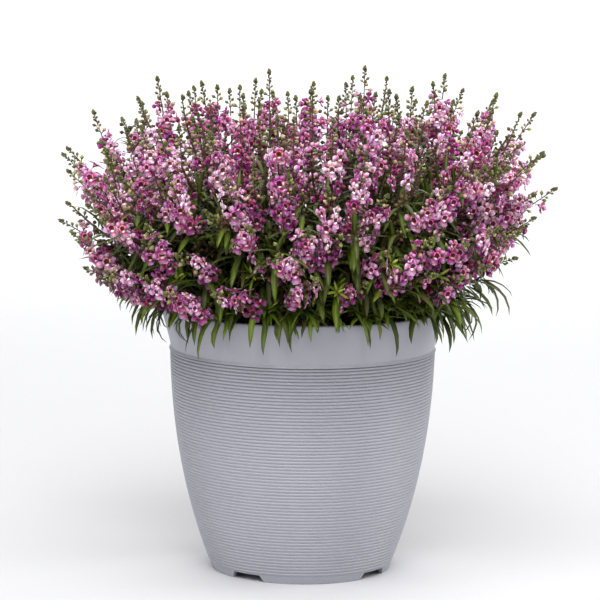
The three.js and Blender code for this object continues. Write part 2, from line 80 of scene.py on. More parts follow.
# One node with its settings, and what goes into it
def addNode(tree, kind, inputs=None, **settings):
    node = tree.nodes.new(kind)
    for name, value in settings.items():
        setattr(node, name, value)
    plug(tree, node, inputs or {})
    return node


def newMaterial(name, **shader):
    material = bpy.data.materials.new(name)
    material.use_nodes = True
    tree = material.node_tree
    surface = next(n for n in tree.nodes if n.type == "BSDF_PRINCIPLED")
    for socket, value in shader.items():
        surface.inputs[socket.replace("_", " ")].default_value = value
    return material, tree, surface


# Colours a surface by stops of sRGB hex values along a value, and shades them by other nodes
def paint(tree, surface, value, stops, shade=None):
    colour = addNode(tree, "ShaderNodeValToRGB", {"Fac": value})
    ramp = colour.color_ramp
    while len(ramp.elements) < len(stops):
        ramp.elements.new(0.5)
    for element, (place, hexColour) in zip(ramp.elements, stops):
        element.position = place
        element.color = linear(hexColour)
    if shade:
        colour = addNode(tree, "ShaderNodeHueSaturation", {"Color": colour, **shade})
    plug(tree, surface, {"Base Color": colour})


# Soft noise of some width in millimetres, spread from a low to a high value
def mottle(tree, width, detail, low, high):
    where = addNode(tree, "ShaderNodeTexCoord").outputs["Object"]
    noise = addNode(tree, "ShaderNodeTexNoise", {
        "Vector": where, "Scale": 1 / (width * mm), "Detail": detail})
    return addNode(tree, "ShaderNodeMapRange", {
        "Value": noise, "From Min": 0.3, "From Max": 0.7, "To Min": low, "To Max": high})


# Geometry Nodes tree with named inputs, and its input and output nodes
def newTree(name, sockets):
    tree = bpy.data.node_groups.new(name, "GeometryNodeTree")
    tree.interface.new_socket("Geometry", in_out="INPUT", socket_type="NodeSocketGeometry")
    for label, kind in sockets:
        tree.interface.new_socket(label, in_out="INPUT", socket_type="NodeSocket" + kind)
    tree.interface.new_socket("Geometry", in_out="OUTPUT", socket_type="NodeSocketGeometry")
    return tree, tree.nodes.new("NodeGroupInput").outputs, tree.nodes.new("NodeGroupOutput")


# Every tree ends in real geometry with its finish on
def endTree(tree, result, geometry, finish):
    solid = addNode(tree, "GeometryNodeRealizeInstances", {"Geometry": geometry})
    coated = addNode(tree, "GeometryNodeSetMaterial", {"Geometry": solid, "Material": finish})
    plug(tree, result, {"Geometry": coated})
    return tree


def addObject(name, data):
    data.name = name
    thing = bpy.data.objects.new(name, data)
    bpy.context.scene.collection.objects.link(thing)
    return thing


# Runs a tree on a mesh and keeps the result as a plain mesh object at the origin
def grow(name, mesh, tree, values):
    seed = addObject(name + "Seed", mesh)
    modifier = seed.modifiers.new("grow", "NODES")
    modifier.node_group = tree
    for item in tree.interface.items_tree:
        if item.in_out == "INPUT" and item.name in values:
            modifier[item.identifier] = values[item.name]
    evaluated = seed.evaluated_get(bpy.context.evaluated_depsgraph_get())
    made = bpy.data.meshes.new_from_object(evaluated)
    seed.modifiers.remove(modifier)
    bpy.data.objects.remove(seed)
    for spare in ("turn", "size", "kind"):
        if spare in made.attributes:
            made.attributes.remove(made.attributes[spare])
    return addObject(name, made)


def settle(piece, slotName, *nodes):
    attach(piece, "root")
    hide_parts(*nodes)
    print(f"{piece.name}: {sum(len(p.vertices) - 2 for p in piece.data.polygons)} triangles")


def smoothMesh(name, points, faces):
    mesh = bpy.data.meshes.new(name)
    mesh.from_pydata(points, [], faces)
    mesh.polygons.foreach_set("use_smooth", [True] * len(mesh.polygons))
    return mesh


def store(mesh, name, kind, values):
    field = "vector" if kind == "FLOAT_VECTOR" else "value"
    mesh.attributes.new(name, kind, "POINT").data.foreach_set(field, values)


# A mesh of loose shapes from points in millimetres, faces and one value for each point
def valueMesh(name, points, faces, values):
    mesh = smoothMesh(name, [tuple(c * mm for c in point) for point in points], faces)
    store(mesh, "place", "FLOAT", values)
    return mesh


# The pot

potSizes = {
    "height": 262, "bandBottom": 219, "bandRadius": 131.5, "taper": (5.5, 29, 8.5),
    "neck": (130.5, 222.4), "flare": 1.12, "rimRadius": 141, "footHeight": 8, "footRadius": 88.5,
    # a rib's depth at the foot and below the band, and how late it deepens
    "ribs": 65, "ribDepth": (0.75, 2.3, 3.5), "sides": 100, "sharpest": 27,
    # inside: the wall, its floor, and how far above the band's edge and how far out it widens
    "wall": 3.2, "floorTop": 10.5, "shoulder": 6, "widening": 9,
    # width, height, slant, reach inwards and outwards, first turn
    "notch": (37, 7, 4, 72, 102, 54),
    # radius, distance from the middle, depth, first turn
    "drain": (7, 52, 20, 9),
}


def bodyRadius(z):
    t = 1 - z / potSizes["bandBottom"]
    return potSizes["bandRadius"] - sum(k * t ** (i + 1) for i, k in enumerate(potSizes["taper"]))


def innerRadius(z):
    s = potSizes
    low, shoulder = s["bandBottom"], s["shoulder"]
    share = max(0, z - low - shoulder) / (s["height"] - low - shoulder)
    return bodyRadius(min(z, low)) - s["wall"] + share * s["widening"]


def potProfile():
    s = potSizes
    top, foot, rim = s["height"], s["footRadius"], s["rimRadius"]
    inside = foot - s["wall"] - 1
    profile = [(0, s["footHeight"] - 1), (inside, s["footHeight"] - 1), (inside, 0.3)]
    profile += [(inside + 0.4, 0), (foot - 1, 0), (foot - 0.3, 0.3), (foot, 1)]
    pitch = (s["bandBottom"] - s["footHeight"]) / s["ribs"]
    shallow, deep, late = s["ribDepth"]
    for i in range(s["ribs"]):
        ribDepth = shallow + (deep - shallow) * (i / s["ribs"]) ** late
        # a groove, then the rib's rounded crest
        for share, depth in ((0, 1), (0.2, 0.4), (0.42, 0.03), (0.68, 0.06), (0.87, 0.5)):
            z = s["footHeight"] + (i + share) * pitch
            profile.append((bodyRadius(z) - ribDepth * depth, z))
    low, neckRadius, neckTop = s["bandBottom"], s["neck"][0], s["neck"][1]
    profile += [(bodyRadius(low) - deep, low), (bodyRadius(low) - 0.2, low + 0.4)]
    # a fine lip along the band's lower edge
    for out, rise in ((0.3, 0.5), (0.6, 0.8), (0.6, 1.1)):
        profile.append((s["bandRadius"] + out, low + rise))
    for i in range(9):
        t = i / 8
        z = neckTop + t * (top - 2 - neckTop)
        profile.append((neckRadius + (rim - 0.4 - neckRadius) * t ** s["flare"], z))
    profile += [(rim - 0.6, top - 0.8), (rim - 1.4, top), (rim - s["wall"] - 0.4, top)]
    profile += [(rim - s["wall"] - 0.9, top - 0.6), (innerRadius(top - 2), top - 2)]
    for z in (low + s["shoulder"], 180, 140, 100, 60, 30, s["floorTop"]):
        profile.append((innerRadius(z), z))
    return profile + [(0, s["floorTop"])]


# A closed body turned about Z from a profile that starts and ends on the axis
def turnedMesh(name, profile, sides):
    points = [(0, 0, profile[0][1] * mm), (0, 0, profile[-1][1] * mm)]
    for r, z in profile[1:-1]:
        for i in range(sides):
            a = 2 * math.pi * i / sides
            points.append((r * mm * math.sin(a), -r * mm * math.cos(a), z * mm))
    at = lambda row, i: 2 + row * sides + i % sides
    last = len(profile) - 3
    faces = [(0, at(0, i + 1), at(0, i)) for i in range(sides)]
    for row in range(last):
        faces += [(at(row, i), at(row, i + 1), at(row + 1, i + 1), at(row + 1, i))
                  for i in range(sides)]
    faces += [(1, at(last, i), at(last, i + 1)) for i in range(sides)]
    return smoothMesh(name, points, faces)


# The notches in the foot and the drain holes, as one mesh of cutters
def potCutters():
    width, height, slant, near, far, firstNotch = potSizes["notch"]
    radius, circle, depth, firstDrain = potSizes["drain"]
    cutters = bmesh.new()
    for i in range(4):
        notch = bmesh.ops.create_cube(cutters, size=1)["verts"]
        for v in notch:
            half = width / 2 + 1 - (slant if v.co.z > 0 else 0)
            v.co = Vector((half if v.co.x > 0 else -half, -near if v.co.y > 0 else -far,
                           height if v.co.z > 0 else -1)) * mm
        turn = Matrix.Rotation(math.radians(firstNotch + 90 * i), 4, "Z")
        bmesh.ops.transform(cutters, matrix=turn, verts=notch)
        place = Matrix.Rotation(math.radians(firstDrain + 90 * i), 4, "Z")
        place = place @ Matrix.Translation((circle * mm, 0, potSizes["floorTop"] * mm))
        bmesh.ops.create_cone(
            cutters, cap_ends=True, segments=24, radius1=radius * mm, radius2=radius * mm,
            depth=depth * mm, matrix=place)
    mesh = bpy.data.meshes.new("potCutters")
    cutters.to_mesh(mesh)
    cutters.free()
    return addObject("potCutters", mesh)


# Polypropylene, injection moulded: an even matt skin, a little clouded
def mouldedPolypropylene():
    material, tree, surface = newMaterial("mouldedPolypropylene", IOR=1.49, Roughness=0.5)
    where = addNode(tree, "ShaderNodeTexCoord").outputs["Object"]
    clouds = addNode(tree, "ShaderNodeTexNoise", {"Vector": where, "Scale": 1 / (38 * mm), "Detail": 3.0})
    paint(tree, surface, clouds, [(0.3, "#a2a2ab"), (0.7, "#a5a5ae")])
    return material


def makePot():
    pot = addObject("pot_shell", turnedMesh("pot_shell", potProfile(), potSizes["sides"]))
    cutters = potCutters()
    cut = pot.modifiers.new("cut", "BOOLEAN")
    cut.object = cutters
    cut.operation = "DIFFERENCE"
    cut.solver = "MANIFOLD"
    evaluated = pot.evaluated_get(bpy.context.evaluated_depsgraph_get())
    whole = bpy.data.meshes.new_from_object(evaluated)
    pot.modifiers.remove(cut)
    pot.data = whole
    bpy.data.objects.remove(cutters)
    whole.set_sharp_from_angle(angle=math.radians(potSizes["sharpest"]))
    whole.materials.clear()
    whole.materials.append(mouldedPolypropylene())
    settle(pot, "pot_plastic", "pot")


# The soil

soilSizes = {
    "top": 236, "mound": 5, "moundRadius": 130, "fit": 0.35, "rings": 28, "sides": 96, "lumps": 1.5,
    "wave": (1.6, 17, 14), "crumbs": 520, "crumb": 3.2, "seed": 11,
}


def soilHeight(x, y):
    s = soilSizes
    rise = s["mound"] * (1 - math.hypot(x, y) ** 2 / s["moundRadius"] ** 2)
    high, wide, deep = s["wave"]
    return s["top"] + rise + high * math.sin(x / wide) * math.cos(y / deep)


# Peat and bark, sieved and watered in: dark, rough, with paler fibres
def pottingMix():
    material, tree, surface = newMaterial("pottingMix", Roughness=0.95, IOR=1.4)
    where = addNode(tree, "ShaderNodeTexCoord").outputs["Object"]
    bits = addNode(tree, "ShaderNodeTexVoronoi", {"Vector": where, "Scale": 1 / (3.5 * mm)})
    paint(tree, surface, bits.outputs["Color"], [(0.1, "#1f150f"), (0.55, "#3b2a1e"), (0.93, "#7a6047")])
    bump = addNode(tree, "ShaderNodeBump", {"Height": bits, "Strength": 0.8, "Distance": 1.5 * mm})
    plug(tree, surface, {"Normal": bump})
    return material


# Crumbs of the mix on whatever faces up, each of its own size and turn
def crumbTree():
    tree, given, result = newTree("scatterCrumbs", [
        ("Count", "Float"), ("Crumb Size", "Float"), ("Seed", "Int"), ("Finish", "Material")])
    upward = addNode(tree, "ShaderNodeSeparateXYZ", {0: addNode(tree, "GeometryNodeInputNormal")})
    level = addNode(tree, "FunctionNodeCompare", {0: upward.outputs["Z"], 1: 0.5}, operation="GREATER_THAN")
    spots = addNode(tree, "GeometryNodeDistributePointsOnFaces", {
        "Mesh": given["Geometry"], "Selection": level, "Density": given["Count"], "Seed": given["Seed"]})
    size, turn = (
        addNode(tree, "FunctionNodeRandomValue", {0: least, 1: most, "Seed": given["Seed"]},
                data_type="FLOAT_VECTOR")
        for least, most in (((0.3, 0.3, 0.2), (1.2, 0.9, 0.6)), ((0, 0, 0), (6.3, 6.3, 6.3))))
    lump = addNode(tree, "GeometryNodeMeshIcoSphere", {"Radius": given["Crumb Size"], "Subdivisions": 1})
    placed = addNode(tree, "GeometryNodeInstanceOnPoints", {
        "Points": spots, "Instance": lump, "Rotation": turn, "Scale": size})
    joined = addNode(tree, "GeometryNodeJoinGeometry", {"Geometry": placed})
    plug(tree, joined, {"Geometry": given["Geometry"]})
    return endTree(tree, result, joined, given["Finish"])


def makeSoil():
    s = soilSizes
    floor = potSizes["floorTop"] + s["fit"]
    edge = innerRadius(s["top"]) - s["fit"]
    shoulder = potSizes["bandBottom"] + potSizes["shoulder"]
    profile = [(0, floor)]
    profile += [(innerRadius(z) - s["fit"], max(z, floor)) for z in (floor, 60, 140, shoulder)]
    profile += [(edge * (1 - i / s["rings"]), s["top"]) for i in range(s["rings"])] + [(0, s["top"])]
    mesh = turnedMesh("soil_bed", profile, s["sides"])
    draw = random.Random(s["seed"])
    for v in mesh.vertices:
        x, y = v.co.x / mm, v.co.y / mm
        if v.co.z > (s["top"] - 0.5) * mm and math.hypot(x, y) < edge - 1:
            v.co.z = (soilHeight(x, y) + draw.uniform(-1, 0.4) * s["lumps"]) * mm
    area = math.pi * (edge * mm) ** 2
    soil = grow("soil_bed", mesh, crumbTree(), {
        "Count": s["crumbs"] / area, "Crumb Size": s["crumb"] * mm, "Seed": s["seed"],
        "Finish": pottingMix()})
    settle(soil, "potting_soil", "soil")


# Where the spikes stand

domeSizes = {
    "radius": 250, "middle": 370, "rise": 122, "drop": 86, "taper": 26, "round": 0.62, "end": 1.84,
    "tilt": 10, "lift": 40, "liftTurn": -1.1, "liftWidth": 1.0, "centre": 290,
    "addedLift": 0.25, "steps": 400,
}
# In a spike of the frame: the shortest edge of its bore, how near to its line the tip lies, and
# the length of the tip: the least that counts, and the one taken if none is found
boreSizes = {"edge": 50, "near": 0.5, "leastTip": 10, "usualTip": 30}
crownSizes = {"circle": 52, "sink": 6}
addedSpikes = {
    "tries": 30, "seed": 5, "pitch": 27, "rings": 300, "clearance": 8, "lean": 0.2, "side": 0.3,
    # kind: (count, share of the dome from its top, reach, flowering length in pitches, budded tip)
    "bloom": (60, (0, 0.9), (0.88, 0.985), (1.4, 2.7), (18, 30)),
    "edge": (50, (0.66, 0.95), (0.86, 0.99), (1.6, 2.6), (12, 22)),
    "green": (28, (0.1, 0.95), (0.84, 0.985), (0.02, 0.02), (24, 44)),
    "spent": (44, (0, 0.9), (0.76, 0.9), (0.02, 0.02), (6, 10)),
    "leafy": (60, (0, 1), (0.62, 0.84), (0.02, 0.02), (8, 12)),
}


# How far the lower edge of the dome is lifted in a direction
def edgeLift(turn):
    off = math.remainder(turn - domeSizes["liftTurn"], 2 * math.pi)
    return domeSizes["lift"] * math.exp(-((off / domeSizes["liftWidth"]) ** 2))


# Widest some way up, tapering below, tilted a little to one side. A reach of 1 is its skin.
def domePoint(angle, turn, reach):
    s = domeSizes
    z = s["middle"] + s["tilt"] * math.cos(turn) * math.sin(min(angle, math.pi / 2))
    if angle < math.pi / 2:
        r = s["radius"] * math.sin(angle) ** s["round"]
        z += s["rise"] * math.cos(angle) ** s["round"]
    else:
        below = (angle - math.pi / 2) / (s["end"] - math.pi / 2)
        r = s["radius"] - s["taper"] * below
        z -= (s["drop"] - s["addedLift"] * edgeLift(turn)) * below
    z = s["centre"] + (z - s["centre"]) * reach
    return Vector((reach * r * math.cos(turn), reach * r * math.sin(turn), z)) * mm


# 0 at the middle of the dome's foot, about 1 at its skin
def domeDepth(point):
    s = domeSizes
    z = max(0, point.z / mm - s["centre"]) / (s["middle"] + s["rise"] - s["centre"])
    return math.hypot(point.x / mm / s["radius"], point.y / mm / s["radius"], z)


# Angles at which the dome's skin has as much area between each and the next
def domeAngles(count):
    steps = domeSizes["steps"]
    angles = [domeSizes["end"] * i / steps for i in range(steps + 1)]
    rings = [domePoint(a, 0, 1) for a in angles]
    area = [0.0]
    for a, b in zip(rings, rings[1:]):
        area.append(area[-1] + (a.x + b.x) / 2 * (b - a).length)
    found, i = [], 0
    for k in range(count):
        while area[i] < (k + 0.5) / count * area[-1]:
            i += 1
        found.append(angles[i])
    return found


def plantToward(x, y):
    sector = 2 * math.pi / len(plantNodes)
    return round((math.atan2(y, x) - math.pi / 2) / sector) % len(plantNodes)


def crownPlace(plant):
    turn = math.pi / 2 + plant * 2 * math.pi / len(plantNodes)
    x, y = crownSizes["circle"] * math.cos(turn), crownSizes["circle"] * math.sin(turn)
    return Vector((x, y, soilHeight(x, y) - crownSizes["sink"])) * mm


# A spike of the frame has its stem's bore along its axis, and the bore has its longest edges
def frameSpike(node):
    mesh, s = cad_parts[node].data, boreSizes
    lows, highs = [], []
    for edge in mesh.edges:
        ends = sorted((mesh.vertices[i].co.copy() for i in edge.vertices), key=lambda p: p.z)
        if (ends[1] - ends[0]).length > s["edge"] * mm:
            lows.append(ends[0])
            highs.append(ends[1])
    foot = sum(lows, Vector()) / len(lows)
    head = sum(highs, Vector()) / len(highs)
    axis = (head - foot).normalized()
    plant = plantToward(head.x, head.y)
    # the budded tip is the furthest point of the plant that lies on the spike's own line
    tip = head
    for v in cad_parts[plantNodes[plant]].data.vertices:
        along = (v.co - head).dot(axis)
        if along > (tip - head).dot(axis) and (v.co - head - axis * along).length < s["near"] * mm:
            tip = v.co.copy()
    if (tip - head).length < s["leastTip"] * mm:
        tip = head + axis * s["usualTip"] * mm
    return {"node": node, "kind": "bloom", "plant": plant, "axis": axis,
            "foot": foot, "head": head, "tip": tip}


# Further spikes between those of the frame, each as far from its neighbours as its tries allow
def fillingSpikes(spikes):
    s = addedSpikes
    draw = random.Random(s["seed"])
    angles = domeAngles(s["rings"])
    found = []
    for kind in ("edge", "bloom", "green", "spent", "leafy"):
        count, shares, reach, lengths, buds = s[kind]
        first, last = (int(share * s["rings"]) for share in shares)
        zone = angles[first:last]
        others = spikes + found if kind not in ("spent", "leafy") else []
        for _ in range(count):
            best = None
            for _ in range(s["tries"]):
                turn, angle = draw.uniform(0, 2 * math.pi), draw.choice(zone)
                tip = domePoint(angle, turn, draw.uniform(*reach))
                room = min([(tip - other["tip"]).length for other in others] or [0])
                if best is None or room > best[0]:
                    best = (room, tip, turn, angle)
            _, tip, turn, angle = best
            lean = (angle / (math.pi / 2)) ** 1.5 + draw.uniform(-s["lean"], s["lean"])
            side = turn + draw.uniform(-s["side"], s["side"])
            flat = math.sin(lean)
            axis = Vector((math.cos(side) * flat, math.sin(side) * flat, math.cos(lean)))
            length, bud = s["pitch"] * draw.uniform(*lengths), draw.uniform(*buds)
            least = potSizes["height"] + s["clearance"]
            tip.z = max(tip.z, least * mm + (length + bud) * mm * axis.z)
            head = tip - axis * bud * mm
            found.append({
                "node": None, "kind": kind, "plant": plantToward(tip.x, tip.y), "axis": axis,
                "foot": head - axis * length * mm, "head": head, "tip": tip})
            others.append(found[-1])
    return found


# Shapes that repeat. Each grows along +Z from the origin, with its upper side towards +Y.

floretSizes = {
    "throat": 2.5, "throatDepth": 3.4, "face": 10.5, "back": 4.6, "calyx": 1.5, "pedicel": 0.5,
    "thick": 0.45, "bumpPlace": (0, -3.9, 11.3), "bump": (2.2, 1.6, 1.2), "rim": 1.6,
}
# How the floret opens, for its first three lobes: turn from the top, reach, half width, how far
# the tip stands forward, and its notch. The other two mirror the second and the first.
lobeSets = {
    "open": [(25, 9.4, 3.5, -2.4, 0), (98, 11.2, 4.0, -0.6, 0), (180, 12.2, 5.2, 2.4, 0.7)],
    "half": [(27, 7.4, 3.2, 2.6, 0), (94, 8.4, 3.5, 3.4, 0), (180, 10.0, 4.4, 4.8, 0.4)],
    "nodding": [(22, 9.0, 3.4, 0.4, 0), (96, 10.6, 4.0, 2.2, 0), (180, 12.6, 5.6, 0.2, 1.0)],
}


# One floret on its pedicel. place: 0 cream bump, 0.25 throat, 0.45 to 0.85 petal, 1 calyx.
def floretMesh(name, lobes):
    s = floretSizes
    lobes = lobes + [(360 - turn, *rest) for turn, *rest in lobes[1::-1]]
    points, values, faces = [], [], []

    def add(x, y, z, value):
        points.append((x, y, z))
        values.append(value)
        return len(points) - 1

    def polar(turn, radius, side, z, value):
        a = math.radians(turn)
        x = radius * math.sin(a) + side * math.cos(a)
        y = radius * math.cos(a) - side * math.sin(a)
        return add(x, y, z, value)

    turns = [lobe[0] for lobe in lobes]
    gaps = [(turn + after) / 2 for turn, after in zip(turns, turns[1:] + [turns[0] + 360])]
    face, throat = s["face"], s["throat"]
    edge = [polar(g, throat, 0, face - 0.4, 0.3) for g in gaps]
    mids = [polar(turn, throat * 1.02, 0, face, 0.3) for turn in turns]
    back = [polar(g, s["calyx"], 0, face - s["back"], 1.0) for g in gaps]
    deep = add(0, 0.2, face - s["throatDepth"], 0.22)
    root = add(0, 0, face - s["back"] - 2.4, 1.0)
    for i, (turn, reach, half, forward, notch) in enumerate(lobes):
        left, right, mid = edge[i - 1], edge[i], mids[i]
        inner = throat + s["rim"]
        wide = throat + (reach - throat) * 0.6
        end = throat + (reach - throat) * 0.92
        lean = lambda radius: face + forward * ((radius - throat) / (reach - throat)) ** 1.6
        rows = [[left, mid, right]]
        for radius, share, dip, value in (
                (inner, 0.62, 0, 0.5), (wide, 1.0, 0.5, 0.7), (end, 0.74, 0.6, 0.85)):
            z = lean(radius)
            middle = radius if radius < end else reach - notch
            # the lower lip is pale below the bump
            pale = 0.07 if turn == 180 and radius == inner else 0
            rows.append([
                polar(turn, radius, -half * share, z - dip, value),
                polar(turn, middle, 0, lean(middle) + 0.1, value - pale),
                polar(turn, radius, half * share, z - dip, value),
            ])
        for low, high in zip(rows, rows[1:]):
            faces += [(low[1], low[0], high[0], high[1]), (low[2], low[1], high[1], high[2])]
        # the petal's underside, a little behind its middle
        spine = [polar(turn, inner, 0, lean(inner) - s["thick"] * 1.6, 0.55),
                 polar(turn, wide, 0, lean(wide) - s["thick"], 0.6)]
        for q, flip in ((0, False), (2, True)):
            corner, shelf = (left, back[i - 1]) if q == 0 else (right, back[i])
            under = [(shelf, spine[0], corner), (corner, spine[0], rows[1][q]),
                     (rows[1][q], spine[0], spine[1], rows[2][q]),
                     (rows[2][q], spine[1], rows[3][1], rows[3][q])]
            faces += [tuple(reversed(f)) for f in under] if flip else under
        faces.append((back[i - 1], back[i], spine[0]))
        faces += [(deep, left, mid), (deep, mid, right), (back[i], back[i - 1], root)]

    # the cream bump below the throat
    x0, y0, z0 = s["bumpPlace"]
    bx, by, bz = s["bump"]
    ring = [add(x0 + bx * math.sin(k * math.pi / 3), y0 + by * math.cos(k * math.pi / 3), z0, 0.0)
            for k in range(6)]
    top, bottom = add(x0, y0, z0 + bz, 0.0), add(x0, y0, z0 - bz, 0.0)
    for k in range(6):
        faces += [(ring[k], top, ring[(k + 1) % 6]), (ring[(k + 1) % 6], bottom, ring[k])]

    # the pedicel
    low = [polar(120 * k, s["pedicel"], 0, 0, 1.0) for k in range(3)]
    high = [polar(120 * k, s["pedicel"], 0, face - s["back"] - 1.6, 1.0) for k in range(3)]
    for k in range(3):
        n = (k + 1) % 3
        faces.append((low[k], high[k], high[n], low[n]))
    faces += [(low[0], low[1], low[2]), (high[2], high[1], high[0])]
    return valueMesh(name, points, faces, values)


leafSizes = {
    "length": 46, "width": 6.5, "thick": 0.6, "fold": 0.3, "steps": 24,
    # how far each kind bends. The last two, for inside, are plainer.
    "bends": (0.5, 1.15, 1.9, 0.5, 1.15), "plainFrom": 3,
    "rows": (0.06, 0.22, 0.42, 0.64, 0.84), "plainRows": (0.2, 0.5, 0.8),
}


# A lance-shaped leaf that bends down along its length. place: 0 midrib, 1 margin.
def leafMesh(name, kind):
    s = leafSizes
    bend, length, steps = s["bends"][kind], s["length"], s["steps"]
    points, values, faces = [], [], []
    line, z, y = [(0.0, 0.0, 0.0)], 0.0, 0.0
    for i in range(steps):
        tilt = bend * ((i + 0.5) / steps) ** 1.2
        z += length / steps * math.cos(tilt)
        y -= length / steps * math.sin(tilt)
        line.append((y, z, tilt))

    def section(t, half):
        y, z, tilt = line[round(t * steps)]
        ny, nz = math.cos(tilt), math.sin(tilt)
        thick, raised = s["thick"] / 2, half * s["fold"]
        start = len(points)
        for x, rise, value in (
                (-half, raised, 1.0), (0, -thick, 0.0), (half, raised, 1.0), (0, thick, 0.0)):
            points.append((x, y + ny * rise, z + nz * rise))
            values.append(value)
        return [start, start + 1, start + 2, start + 3]

    loop = section(0, 0.5)
    faces.append(tuple(loop))
    for t in s["plainRows" if kind >= s["plainFrom"] else "rows"]:
        half = s["width"] / 2 * math.sin(math.pi * min(1, t ** 0.8)) ** 0.8 + 0.3
        nextLoop = section(t, half)
        for i in range(4):
            n = (i + 1) % 4
            faces.append((loop[i], nextLoop[i], nextLoop[n], loop[n]))
        loop = nextLoop
    y, z, _ = line[-1]
    points.append((0, y, z))
    values.append(0.6)
    faces += [(loop[i], len(points) - 1, loop[(i + 1) % 4]) for i in range(4)]
    return valueMesh(name, points, faces, values)


# Buds along a spike and at its tip: pedicel, girth, length. The bract: length, half width.
budSizes = {"side": (2.2, 1.75, 3.7), "tip": (0.8, 1.9, 4.0), "bract": (6.5, 0.9)}


# A bud on its pedicel, round below and pointed above. place: 0 at its foot, 1 at its top.
def budMesh(name, pedicel, girth, length):
    points, values, faces = [], [], []

    def ring(radius, z, value, sides):
        start = len(points)
        for k in range(sides):
            a = 2 * math.pi * k / sides
            points.append((radius * math.cos(a), radius * math.sin(a), z))
            values.append(value)
        return list(range(start, start + sides))

    def band(low, high):
        n = len(low)
        return [(low[k], low[(k + 1) % n], high[(k + 1) % n], high[k]) for k in range(n)]

    low, high = ring(0.4, 0, 0.0, 3), ring(0.35, pedicel + 0.3, 0.0, 3)
    faces += band(low, high) + [tuple(reversed(low)), tuple(high)]
    foot = ring(0.4 * girth, pedicel - 0.1, 0.0, 5)
    belly = ring(girth, pedicel + length * 0.42, 0.45, 5)
    points.append((0, 0, pedicel + length))
    values.append(1.0)
    faces += band(foot, belly) + [tuple(reversed(foot))]
    faces += [(belly[k], belly[(k + 1) % 5], len(points) - 1) for k in range(5)]
    return valueMesh(name, points, faces, values)


# The small pointed leaf below each bud
def bractMesh(name, length, half):
    widest = length * 0.4
    points = [(0, 0, 0), (-half, 0.3, widest), (half, 0.3, widest), (0, 0.1, length),
              (0, 0.35, widest), (0, -0.25, widest)]
    faces = [(0, 4, 1), (0, 2, 4), (1, 4, 3), (4, 2, 3), (0, 1, 5), (0, 5, 2), (1, 3, 5), (5, 3, 2)]
    return valueMesh(name, points, faces, [0, 0.2, 0.2, 0.3, 0.1, 0.1])


# A collection of shapes to pick from. Its order is the order of the names.
def shapeSet(name, meshes):
    shapes = bpy.data.collections.new(name)
    for mesh in meshes:
        shapes.objects.link(bpy.data.objects.new(mesh.name, mesh))
    return shapes


# Sets a shape on every point, turned, sized and picked by the point's own attributes, gives
# each one a random tone, and ruffles its surface a little
def shapeTree():
    tree, given, result = newTree("setShapes", [
        ("Shapes", "Collection"), ("Seed", "Int"), ("Ruffle", "Float"), ("Ruffle Width", "Float"),
        ("Finish", "Material")])
    shapes = addNode(tree, "GeometryNodeCollectionInfo", {
        "Collection": given["Shapes"], "Separate Children": True, "Reset Children": True})
    turn, size, kind = (
        addNode(tree, "GeometryNodeInputNamedAttribute", {"Name": name}, data_type=data)
        for name, data in (("turn", "QUATERNION"), ("size", "FLOAT_VECTOR"), ("kind", "INT")))
    spots = addNode(tree, "GeometryNodeMeshToPoints", {"Mesh": given["Geometry"]})
    placed = addNode(tree, "GeometryNodeInstanceOnPoints", {
        "Points": spots, "Instance": shapes, "Pick Instance": True, "Instance Index": kind,
        "Rotation": turn, "Scale": size})
    tone = addNode(tree, "FunctionNodeRandomValue", {2: 0.0, 3: 1.0, "Seed": given["Seed"]})
    toned = addNode(tree, "GeometryNodeStoreNamedAttribute", {
        "Geometry": placed, "Name": "tone", "Value": tone.outputs[1]}, domain="INSTANCE")
    solid = addNode(tree, "GeometryNodeRealizeInstances", {"Geometry": toned})
    grain = addNode(tree, "ShaderNodeMath", {0: 1.0, 1: given["Ruffle Width"]}, operation="DIVIDE")
    waves = addNode(tree, "ShaderNodeTexNoise", {"Scale": grain, "Detail": 0.0}).outputs["Color"]
    centred = addNode(tree, "ShaderNodeVectorMath", {0: waves, 1: (0.5, 0.5, 0.5)}, operation="SUBTRACT")
    offset = addNode(tree, "ShaderNodeVectorMath", {
        0: centred, "Scale": given["Ruffle"]}, operation="SCALE")
    ruffled = addNode(tree, "GeometryNodeSetPosition", {"Geometry": solid, "Offset": offset})
    return endTree(tree, result, ruffled, given["Finish"])


# Round stems along lines whose points hold a thickness
def stemTree():
    tree, given, result = newTree("drawStems", [("Sides", "Int"), ("Finish", "Material")])
    line = addNode(tree, "GeometryNodeMeshToCurve", {"Mesh": given["Geometry"]})
    thick = addNode(tree, "GeometryNodeInputNamedAttribute", {"Name": "thick"}, data_type="FLOAT")
    sized = addNode(tree, "GeometryNodeSetCurveRadius", {"Curve": line, "Radius": thick})
    section = addNode(tree, "GeometryNodeCurvePrimitiveCircle", {
        "Resolution": given["Sides"], "Radius": 1.0})
    tube = addNode(tree, "GeometryNodeCurveToMesh", {
        "Curve": sized, "Profile Curve": section, "Fill Caps": True, "Scale": thick})
    return endTree(tree, result, tube, given["Finish"])


# A finish of the plant, with what the points hold: their place in the shape, tone, and age that also holds
# painted shade
def plantMaterial(name, **shader):
    material, tree, surface = newMaterial(name, **shader)
    held = [addNode(tree, "ShaderNodeAttribute", attribute_name=key).outputs["Fac"]
            for key in ("place", "tone", "age")]
    return material, tree, surface, *held


